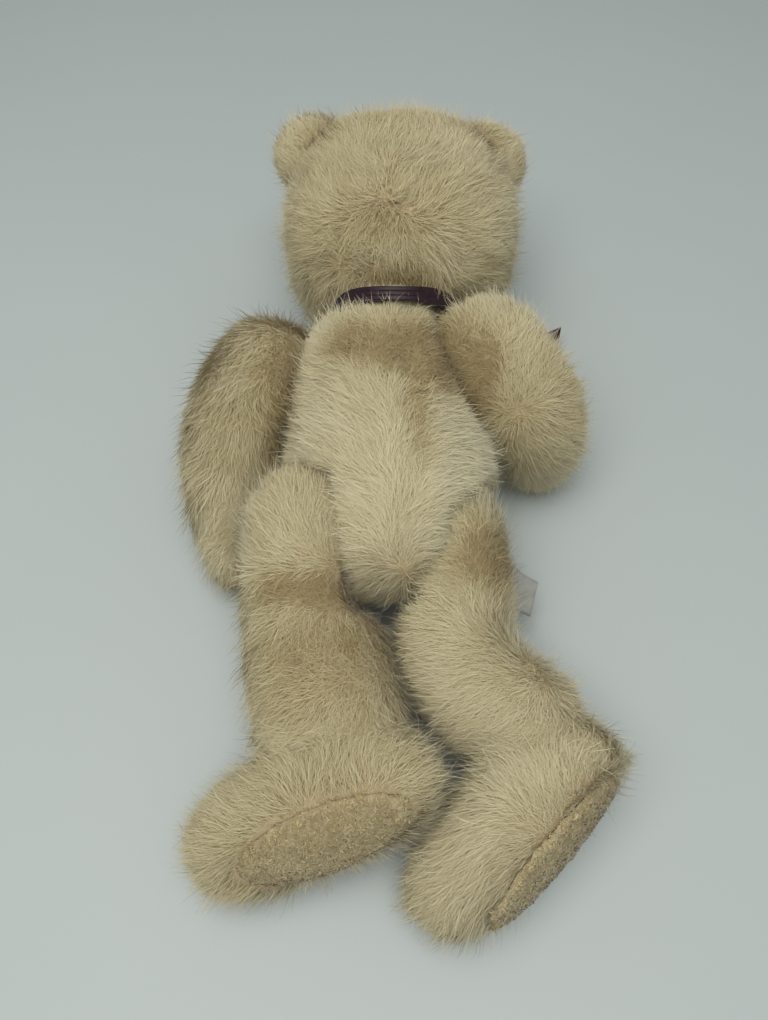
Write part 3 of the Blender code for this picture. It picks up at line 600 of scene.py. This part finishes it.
def grow_pile(name, skin, body, comb, length, density=1.0, lift=(34, 8), tone=0.55, clump=0.35,
              wander=14.0, curl=0.45, unrest=0.2, width=STRAND_WIDTH, guards=GUARD_SHARE, around=(),
              margin=0.3 * MM, facing_from=None):
    """Cover a skin with strands combed along comb(places, normals).

    length is a number or a function of places, lift the lean in degrees at root and tip,
    tone 0 for the darkest strands to 1 for the palest, wander how far in degrees a strand
    strays from the comb, curl how much it bends sideways, unrest how far whole patches leave
    the comb, and around the objects that the strands keep clear of. facing_from limits the
    strands to the side that faces away from it.
    """
    rng = np.random.default_rng(SEED + sum(map(ord, name)))
    roots, normals = scatter(skin.data, STRANDS_PER_MM2 * density, rng)
    reach = length(roots) if callable(length) else np.full(len(roots), length)
    if facing_from is not None:
        reach = reach * ((normals * unit(roots - facing_from)).sum(axis=1) > 0.5)
    reach = reach * clearance(roots, around, margin, EDGE_FADE)
    kept = reach > LEAST_LENGTH
    roots, normals, reach = roots[kept], normals[kept], reach[kept]
    crowded = 1 - clearance(roots, around, margin, EDGE_REACH)
    count = len(roots)
    matted_and_shade = matting_and_shade(roots)
    reach = reach * rng.uniform(*LENGTH_SPREAD, count) * (1 - MATTED_SHORTER * matted_and_shade)
    room = room_above(roots, normals, body) * ROOM_USED

    along, across = combed_directions(roots, normals, comb, wander, unrest, matted_and_shade, rng)
    root_lift = np.radians(lift[0] + rng.normal(0, LIFT_SPREAD, count))
    tip_lift = np.radians(lift[1] + rng.normal(0, LIFT_SPREAD, count))
    curls = rng.normal(0, curl + MATTED_CURL * matted_and_shade)
    root_lift += math.radians(EDGE_LIFT) * crowded
    guard = rng.random(count) < guards
    reach[guard] *= GUARD_LENGTH
    root_lift[guard] += math.radians(GUARD_LIFT[0])
    tip_lift[guard] += math.radians(GUARD_LIFT[1])

    path = strand_path(roots, normals, along, across, root_lift, tip_lift, curls, reach)
    gather_locks(path, roots, guard, clump, rng)
    press_down(path, roots, normals, room)
    rows, facing = flat_strands(path, normals, width, rng)
    tones = strand_tones(roots, tone, matted_and_shade, rng)

    pieces = []
    order = np.argsort(roots[:, 1], kind="stable")
    for number, start in enumerate(range(0, count, STRANDS_PER_PIECE), 1):
        part = order[start : start + STRANDS_PER_PIECE]
        mesh = strand_mesh([row[part] for row in rows], facing[part], tones[part])
        piece = add_object(f"{name}_{number}", mesh, *PILE_MATERIALS)
        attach(piece, body)
        pieces.append(piece)
    return pieces


def strand_mesh(rows, facing, tones):
    """Flat tapered strands: two points at each row and one at the tip."""
    count = len(facing)
    per_strand = len(rows)
    points = np.stack(rows, axis=1).reshape(-1, 3)
    base = (np.arange(count) * per_strand)[:, None]
    quads = [[2 * i, 2 * i + 1, 2 * i + 3, 2 * i + 2] for i in range(STRAND_STEPS - 1)]
    last = 2 * (STRAND_STEPS - 1)
    pattern = np.array(sum(quads, []) + [last, last + 1, last + 2])
    sizes = np.array([4] * len(quads) + [3])
    loops = (base + pattern[None, :]).ravel()
    starts = np.concatenate([[0], np.cumsum(np.tile(sizes, count))[:-1]])
    mesh = bpy.data.meshes.new("strands")
    mesh.vertices.add(len(points))
    mesh.vertices.foreach_set("co", points.astype(np.float32).ravel())
    mesh.loops.add(len(loops))
    mesh.loops.foreach_set("vertex_index", loops.astype(np.int32))
    mesh.polygons.add(count * len(sizes))
    mesh.polygons.foreach_set("loop_start", starts.astype(np.int32))
    # the root step one tone darker is painted shade
    shades = np.clip(tones[:, None] + np.array(ROOT_TONES), 0, len(TONES) - 1)
    mesh.polygons.foreach_set("material_index", shades.ravel().astype(np.int32))
    mesh.update()
    mesh.validate()
    mesh.polygons.foreach_set("use_smooth", np.ones(len(mesh.polygons), dtype=bool))
    mesh.normals_split_custom_set_from_vertices(np.repeat(facing, per_strand, axis=0))
    return mesh


# ---------------------------------------------------------------- which way the pile is combed

def combed(direction):
    """Pile that all lies one way."""
    return lambda places, normals: np.broadcast_to(np.array(direction, float), places.shape).copy()


def from_point(centre, drift=(0, 0, 0), eye=14 * MM):
    """Pile that spreads from a whorl, with a steady drift that wins inside the whorl's eye."""
    def comb(places, normals):
        away = places - np.array(centre)
        distance = np.linalg.norm(away, axis=1, keepdims=True)
        return away / (distance + eye) + np.array(drift, float)
    return comb


def blend_at(values, edge, width):
    """A share that rises from 0 to 1 as values pass an edge, as a column."""
    return (1 / (1 + np.exp(-(values - edge) / width)))[:, None]


def head_comb(places, normals):
    """Pile that spreads from a whorl at the back of the head."""
    return from_point(HEAD_MIDDLE + np.array((-4, -42, 50)) * MM, (0.08, 0.2, 0), 26 * MM)(places, normals)


def torso_comb(places, normals):
    """Pile that runs from the back seam up and out to the sides, and straight up at the neck."""
    seam = 8 * MM + 3 * MM * waves(places, 30 * MM, SEED + 9)
    right = blend_at(places[:, 0] - seam, 0, 5 * MM)
    sides = (1 - right) * np.array((-0.80, 0.62, 0.0)) + right * np.array((1.0, 0.10, -0.1))
    upper = blend_at(places[:, 1], TORSO_HIGH[1] - 26 * MM, 5 * MM)
    return sides * (1 - upper) + np.array((0.05, 1.0, 0.0)) * upper


def arm_right_comb(places, normals):
    """Pile that spreads from the elbow."""
    low, high = corner_box("arm_right_skin")
    elbow = np.array((low[0] * 0.45 + high[0] * 0.55, low[1] * 0.8 + high[1] * 0.2, high[2] * 0.75))
    return from_point(elbow, (0.15, 0.28, 0), 20 * MM)(places, normals)


def foot_comb(places, node, drift):
    """Pile that spreads over a foot from its pad."""
    low, high = corner_box(node)
    return unit(places - (low + high) / 2) + np.array(drift)


def leg_right_comb(places, normals):
    """Up and inward at the top of the thigh, outward round the knee, and out from the pad."""
    low, high = corner_box("leg_right_skin")
    knee = np.array((low[0] * 0.4 + high[0] * 0.6, low[1] * 0.42 + high[1] * 0.58, high[2] * 0.8))
    thigh = unit(places - knee) + np.array((-0.4, 0.35, 0.0))
    foot = foot_comb(places, "foot_pad_right", (-0.1, -0.5, 0.0))
    share = blend_at(knee[1] - places[:, 1], 34 * MM, 8 * MM)
    return thigh * (1 - share) + foot * share


def leg_left_comb(places, normals):
    """Up the thigh, down the calf, and on the foot out from the pad."""
    _, high = corner_box("foot_pad_left")
    _, top = corner_box("leg_left_skin")
    up = blend_at(places[:, 1], top[1] - 50 * MM, 6 * MM)
    leg = up * np.array((-0.3, 0.9, 0.0)) + (1 - up) * np.array((-0.55, -0.8, 0.0))
    foot = foot_comb(places, "foot_pad_left", (-0.1, 0.1, 0.0))
    share = blend_at(high[1] + 18 * MM - places[:, 1], 0.0, 8 * MM)
    return leg * (1 - share) + foot * share


# ---------------------------------------------------------------- bodies

def press_groove(skin, groove):
    """Push a skin's surface in along a line of points."""
    line, depth, half_width = groove
    places, normals = points_of(skin.data)
    nearest = np.full(len(places), np.inf)
    for start, end in zip(np.array(line[:-1]) * MM, np.array(line[1:]) * MM):
        run = end - start
        share = np.clip(((places - start) @ run) / (run @ run), 0, 1)
        away = np.linalg.norm(places - (start + share[:, None] * run), axis=1)
        nearest = np.minimum(nearest, away)
    push = depth * MM * np.exp(-((nearest / (half_width * MM)) ** 2))
    move_points(skin.data, places - normals * push[:, None])


def build_filling(skin, body, node):
    """The stuffing just inside a skin, a little lumpy, standing for its CAD node."""
    places, normals = points_of(skin.data)
    mesh = skin.data.copy()
    mesh.materials.clear()
    depth = FILLING_DEPTH + FILLING_LUMPS * waves(places, 14 * MM, SEED + 12)
    move_points(mesh, places - normals * depth[:, None])
    filling = add_object(node.replace("stuffing", "filling"), mesh, FILLING)
    stand_for(filling, body, node)


def swell(skin, factor, shift):
    """Scale a skin about its middle and shift it."""
    places, _ = points_of(skin.data)
    middle = (places.min(axis=0) + places.max(axis=0)) / 2
    move_points(skin.data, middle + (places - middle) * factor + np.array(shift))


def flatten_crown(skin):
    """Lower the back of the crown, where the filling has settled."""
    places, _ = points_of(skin.data)
    rise = np.clip((places[:, 2] - HEAD_MIDDLE[2]) / (HEAD_HIGH[2] - HEAD_MIDDLE[2]), 0, 1)
    crownward = np.clip((places[:, 1] - HEAD_LOW[1] - 22 * MM) / (40 * MM), 0, 1)
    places[:, 2] -= CROWN_DROP * rise**1.5 * crownward**0.7
    move_points(skin.data, places)


def sewn_skin(name, body, nodes, *grooves, voxel=SKIN_VOXEL, fill=0.8):
    """The backing of one stuffed piece, standing for the first of its CAD nodes."""
    skin = outside_of(name, nodes, voxel, SKIN_SMOOTHING)
    for groove in grooves:
        press_groove(skin, groove)
    if nodes[0] == "head_skin":
        flatten_crown(skin)
    skin.data.materials.append(BACKING)
    stand_for(skin, body, nodes[0])
    if len(nodes) > 1:
        build_filling(skin, body, nodes[1])
    return skin


def limb_nodes(limb, joint):
    """The CAD nodes that one limb is made of."""
    return [f"{limb}_skin", f"{limb}_stuffing", f"{joint}_stud"]


def torso_length(places):
    """Full pile, shorter along the ribbon."""
    near_ribbon = np.clip((TORSO_HIGH[1] - 14 * MM - places[:, 1]) / (10 * MM), 0.45, 1)
    behind = np.exp(-(((places[:, 0] - NECK[0]) / (14 * MM)) ** 4))
    return PILE_LENGTH * (1 - (1 - near_ribbon) * behind)


def head_length(places):
    """Shorter pile on the crown and muzzle, longer where it hangs over the ribbon."""
    crown = np.clip((places[:, 1] - HEAD_HIGH[1] + 30 * MM) / (30 * MM), 0, 1)
    muzzle = np.clip((26 * MM - places[:, 2]) / (20 * MM), 0, 1)
    nape = np.clip((HEAD_LOW[1] + 14 * MM - places[:, 1]) / (8 * MM), 0, 1)
    return PILE_LENGTH * (1 - 0.3 * crown) * (1 - 0.5 * muzzle) * (1 + 0.25 * nape)


def build_torso():
    """The body with its back seam, and the ribbon round its neck."""
    skin = sewn_skin("torso_backing", "torso", TORSO_NODES, BACK_SEAM)
    band = build_band(skin)
    grow_pile("pile_torso", skin, "torso", torso_comb, torso_length, tone=0.72,
              around=[band], margin=3 * MM)


def build_head():
    """The head and its two ears."""
    skin = sewn_skin("head_backing", "head", HEAD_NODES)
    grow_pile("pile_head", skin, "head", head_comb, head_length, tone=0.45, unrest=0.5,
              around=[frame["nodes"][node] for node in FACE_NODES], margin=1 * MM)
    for side, inward in (("left", 1), ("right", -1)):
        ear = sewn_skin(f"ear_{side}_backing", "head", [f"ear_{side}"], voxel=EAR_VOXEL, fill=0.2)
        swell(ear, EAR_SWELL, (inward * 3 * MM, 1 * MM, 3 * MM))
        grow_pile(f"pile_ear_{side}", ear, "head", from_point(HEAD_MIDDLE), EAR_PILE_LENGTH, tone=0.6)


def build_arms():
    """Both arms; neither has a pad."""
    left = sewn_skin("arm_left_backing", "arm_left", limb_nodes("arm_left", "shoulder_left"))
    grow_pile("pile_arm_left", left, "arm_left", combed((-0.35, -1.0, -0.2)), PILE_LENGTH, tone=0.54)
    right_nodes = limb_nodes("arm_right", "shoulder_right")
    right = sewn_skin("arm_right_backing", "arm_right", right_nodes, ELBOW_CREASE)
    grow_pile("pile_arm_right", right, "arm_right", arm_right_comb, PILE_LENGTH)


def build_legs():
    """Both legs with their feet and foot pads."""
    left = sewn_skin("leg_left_backing", "leg_left", limb_nodes("leg_left", "hip_left"), THIGH_CREASE)
    grow_pile("pile_leg_left", left, "leg_left", leg_left_comb, PILE_LENGTH, tone=0.5,
              around=[frame["nodes"]["foot_pad_left"]])
    right = sewn_skin("leg_right_backing", "leg_right", limb_nodes("leg_right", "hip_right"))
    grow_pile("pile_leg_right", right, "leg_right", leg_right_comb, PILE_LENGTH, tone=0.6,
              around=[frame["nodes"]["foot_pad_right"]])
    for side in ("left", "right"):
        build_pad(side)


def any_way(places, normals):
    """No comb at all: every strand lies its own way."""
    return np.random.default_rng(SEED).normal(size=places.shape)


def crown_pad(pad, behind):
    """Bulge a pad outwards in the middle and sink its rim into the seam, with small nubs."""
    places, normals = points_of(pad.data)
    middle = places.mean(axis=0)
    axes = np.linalg.svd(places - middle, full_matrices=False)[2]
    outward = axes[2] * np.sign(axes[2] @ (middle - behind))
    across = (places - middle) @ axes[:2].T
    rim = ((across / np.abs(across).max(axis=0)) ** 2).sum(axis=1)
    facing = np.clip((normals @ outward) * 2, 0, 1)
    rise = PAD_RISE * np.clip(1 - rim, 0, 1) - PAD_RIM_SINK * np.clip((rim - 0.82) / 0.18, 0, 1)
    rise = rise * facing + PAD_NUBS * waves(places, 2.4 * MM, SEED + 8)
    move_points(pad.data, places + outward * rise[:, None])


def build_pad(side):
    """A foot pad of short nubbly cloth."""
    node = f"foot_pad_{side}"
    low, high = corner_box(node)
    behind = (low + high) / 2 + np.array((0, 40 * MM, -12 * MM))
    pad = outside_of(f"pad_{side}_backing", [node], PAD_VOXEL, 4)
    crown_pad(pad, behind)
    pad.data.materials.append(PAD_CLOTH)
    stand_for(pad, f"leg_{side}", node)
    # tone 0.22 darkens the nubs with the same painted shade as the pad cloth
    nubs = grow_pile(f"nubs_{side}", pad, f"leg_{side}", any_way, NUB_LENGTH, density=1.3,
                     lift=(50, -45), tone=0.22, clump=0.5, curl=2.0, width=NUB_WIDTH, guards=0,
                     facing_from=behind)


# ---------------------------------------------------------------- ribbon, label, nose and mouth

def smooth_path(points, steps):
    """Points along a smooth curve through the given ones."""
    points = [np.array(point, float) for point in points]
    points = [2 * points[0] - points[1], *points, 2 * points[-1] - points[-2]]
    path = []
    for before, start, end, after in zip(points, points[1:], points[2:], points[3:]):
        for step in range(steps):
            t = step / steps
            slope = (end - before) * t
            bend = (2 * before - 5 * start + 4 * end - after) * t**2
            swing = (3 * start - before - 3 * end + after) * t**3
            path.append(0.5 * (2 * start + slope + bend + swing))
    path.append(points[-2])
    return np.array(path)


def cloth_strip(name, rows, thickness, material, body, node, closed=False):
    """A thin strip of cloth from rows of points, standing for a CAD node."""
    rows = np.array(rows)
    count, across = rows.shape[:2]
    faces = []
    for i in range(count if closed else count - 1):
        here = i * across
        ahead = (i + 1) % count * across
        for j in range(across - 1):
            faces.append((here + j, here + j + 1, ahead + j + 1, ahead + j))
    mesh = bpy.data.meshes.new(name)
    mesh.from_pydata(rows.reshape(-1, 3).tolist(), [], faces)
    strip = add_object(name, mesh, material)
    thick = strip.modifiers.new("thickness", "SOLIDIFY")
    thick.thickness = thickness
    thick.offset = 0
    apply_modifiers(strip)
    strip.data.shade_smooth()
    stand_for(strip, body, node)
    return strip


def ribbon_strip(name, rows, node, closed=False):
    """A strip of the satin ribbon."""
    return cloth_strip(name, rows, RIBBON_THICKNESS, SATIN, "torso", node, closed)


def build_band(torso):
    """The ribbon round the neck, pleated by being tied, lying on the shoulders behind."""
    shoulders = surface_tree([torso])
    arms = surface_tree([frame["nodes"]["arm_left_skin"], frame["nodes"]["arm_right_skin"]])
    low, high = corner_box("ribbon_band")
    least = (high[0] - low[0]) / 2
    far = 70 * MM
    rows = []
    for i in range(BAND_AROUND):
        angle = math.tau * i / BAND_AROUND
        out = Vector((math.cos(angle), 0, math.sin(angle)))
        slid = 10 * MM * max(out.z, 0) ** 3
        width = BAND_WIDTH - 0.5 * slid
        row = []
        for j in range(BAND_ACROSS):
            t = j / (BAND_ACROSS - 1)
            centre = Vector((NECK[0], high[1] - 0.5 * MM - slid - width * t, NECK[2]))
            hit = shoulders.ray_cast(centre + out * far, -out, far)[3]
            surface = far - hit if hit is not None else 0.0
            blocked = arms.ray_cast(centre, out, far)[3] or far
            pleats = 0.5 * MM * math.sin(math.tau * 3.2 * t + 0.9 * math.sin(3 * angle) + angle)
            radius = min(max(least, surface + BAND_GAP), least + 9 * MM) + pleats
            row.append(tuple(centre + out * min(radius, blocked - 1.2 * MM)))
        rows.append(row)
    band = ribbon_strip("ribbon_round_neck", rows, "ribbon_band", closed=True)
    return band


def build_loop(side, sign):
    """One loop of the bow, gathered where it goes into the knot."""
    low, high = corner_box(f"ribbon_loop_{side}")
    centre = (low + high) / 2
    long_half = (high[0] - low[0]) / 2 - 0.3 * MM
    tall_half = (high[2] - low[2]) / 2 - 0.5 * MM
    rows = []
    for i in range(LOOP_ALONG + 1):
        angle = math.tau * 0.92 * (i / LOOP_ALONG - 0.5)
        outer = 0.5 + 0.5 * math.cos(angle)
        half = (4.2 + 3.2 * outer) * MM
        row = []
        for t in np.linspace(-1, 1, STRIP_ACROSS):
            pleat = (1 - 0.75 * outer) * 0.7 * MM * math.sin(7 * t + 2 * angle)
            x = centre[0] + sign * long_half * math.cos(angle)
            z = centre[2] + tall_half * math.sin(angle) + pleat
            row.append((x, centre[1] + half * t, max(z, 0.5 * MM)))
        rows.append(row)
    loop = ribbon_strip(f"ribbon_bow_{side}", rows, f"ribbon_loop_{side}")


def build_knot():
    """The knot of the bow: ribbon wrapped tightly round itself."""
    knot = outside_of("ribbon_wrap", ["ribbon_knot"], 0.7 * MM, 3)
    places, normals = points_of(knot.data)
    low, _ = corner_box("ribbon_knot")
    folds = 0.45 * MM * np.sin((places[:, 0] - low[0]) / (1.3 * MM) + 90 * (places[:, 1] - low[1]))
    move_points(knot.data, places + normals * (folds - 0.2 * MM)[:, None])
    knot.data.materials.append(SATIN)
    stand_for(knot, "torso", "ribbon_knot")


def build_label():
    """The care label: a folded piece of satin tape with its ends in the thigh's outer seam."""
    out = [Vector(point) * MM for point in LABEL_PATH]
    wide = Vector((0.25, 0.9, 0.3)).normalized()
    across = np.array(wide) * LABEL_HALF_WIDTH
    above = (out[-1] - out[0]).cross(wide).normalized() * (0.5 * MM)
    if above.z < 0:
        above = -above
    path = [point - above for point in out] + [out[-1] + (out[-1] - out[-2]) * 0.08]
    path += [point + above for point in reversed(out)]
    rows = [[centre + across * t for t in np.linspace(-1, 1, 9)] for centre in smooth_path(path, 5)]
    label = cloth_strip("care_label_folded", rows, LABEL_THICKNESS, LABEL_SATIN, "leg_right",
                        "care_label")


def build_tail(side, points, end_cut):
    """One tail of the bow, gathered at the knot and cut at a slant."""
    path = smooth_path(np.array(points) * MM, 10)
    heading = unit(np.gradient(path, axis=0))
    sideways = unit(np.cross(heading, (0.0, 0.0, 1.0)))
    above = unit(np.cross(sideways, heading))
    travelled = np.linspace(0, 1, len(path))
    rows = []
    for i, t in enumerate(travelled):
        gathered = math.exp(-t / 0.12)
        half = RIBBON_HALF_WIDTH * (1 - 0.5 * gathered)
        row = []
        for s in np.linspace(-1, 1, STRIP_ACROSS):
            fold = (0.5 + 1.6 * gathered) * MM * math.sin(2.6 * s + 5 * t) * (1 - 0.4 * t)
            reach = end_cut * MM * (s + 1) / 2 * max(t - 0.8, 0) / 0.2
            row.append(path[i] + sideways[i] * half * s + above[i] * fold - heading[i] * reach)
        rows.append(row)
    rows = np.array(rows)
    rows[:, :, 2] = np.maximum(rows[:, :, 2], ABOVE_FLOOR)
    tail = ribbon_strip(f"ribbon_end_{side}", rows, f"ribbon_tail_{side}")


def build_stitching(node, voxel, along):
    """Part of the face sewn in thick thread, with a ridge at each step along a direction."""
    stitched = outside_of(f"{node}_thread", [node], voxel, 2)
    places, normals = points_of(stitched.data)
    ridges = np.abs(np.sin(places @ np.array(along) * math.pi / THREAD_PITCH))
    raised = THREAD_RIDGE * (ridges - 0.7) + THREAD_FUZZ * waves(places, 1.5 * MM, SEED + 12)
    move_points(stitched.data, places + normals * raised[:, None])
    stitched.data.materials.append(THREAD)
    stand_for(stitched, "head", node)


# ---------------------------------------------------------------- CAD nodes that show as they are

def hardware_material(node):
    """The material of a node that shows as it is, or None where another piece stands for it."""
    if node.endswith("lock_washer"):
        return LOCK_STEEL
    if node.endswith("_stud") or "washer" in node:
        return JOINT_PLASTIC
    if node.startswith("eye"):
        return EYE_PLASTIC
    return None


def dress_hardware():
    """Give the joints and the eyes their materials."""
    for node, obj in frame["nodes"].items():
        material = hardware_material(node)
        if material is not None:
            obj.data.materials.clear()
            obj.data.materials.append(material)


# ---------------------------------------------------------------- floor, lights and camera

def build_floor():
    """A plain pale table top."""
    mesh = bpy.data.meshes.new("floor")
    half = FLOOR_HALF
    corners = [(-half, -half, 0), (half, -half, 0), (half, half, 0), (-half, half, 0)]
    mesh.from_pydata(corners, [], [(0, 1, 2, 3)])
    material = mottled("table_top", (0.455, 0.495, 0.478), (0.472, 0.512, 0.495), 3, (0.5, 0.6))
    add_object("floor", mesh, material)


def area_light(name, place, target, size, power, colour):
    """A soft square light aimed at a point."""
    data = bpy.data.lights.new(name, "AREA")
    data.size = size
    data.energy = power
    data.color = colour
    light = bpy.data.objects.new(name, data)
    bpy.context.scene.collection.objects.link(light)
    light.location = place
    light.rotation_euler = (Vector(target) - Vector(place)).to_track_quat("-Z", "Y").to_euler()


def build_light():
    """Soft light from overhead and an even surround."""
    world = bpy.data.worlds.new("surround")
    world.use_nodes = True
    background = world.node_tree.nodes["Background"]
    background.inputs["Color"].default_value = SURROUND_COLOUR
    background.inputs["Strength"].default_value = SURROUND_STRENGTH
    bpy.context.scene.world = world
    area_light("overhead", (-0.1, -0.2, 0.95), (0, -0.05, 0.05), 0.8, 7.2, (1.0, 0.98, 0.94))


def build_camera():
    """The camera over the bear's feet, looking steeply down."""
    data = bpy.data.cameras.new("camera")
    data.lens = CAMERA_LENS
    data.sensor_width = CAMERA_SENSOR
    data.clip_start = 0.01
    camera = bpy.data.objects.new("camera", data)
    camera.location = CAMERA_PLACE
    camera.rotation_euler = (math.radians(CAMERA_TILT), 0.0, 0.0)
    bpy.context.scene.collection.objects.link(camera)
    bpy.context.scene.camera = camera


dress_hardware()
build_floor()
build_torso()
build_head()
build_arms()
build_legs()
build_stitching("nose", 0.28 * MM, (1.0, 0.0, 0.0))
build_stitching("mouth_upright", 0.22 * MM, (0.5, 0.8, 0.0))
build_stitching("mouth_smile", 0.22 * MM, (0.9, 0.3, 0.0))
build_knot()
build_loop("left", -1)
build_loop("right", 1)
build_label()
build_tail("left", TAIL_LEFT, 6)
build_tail("right", TAIL_RIGHT, 9)
build_light()
build_camera()
bpy.context.scene.view_settings.view_transform = "Standard"
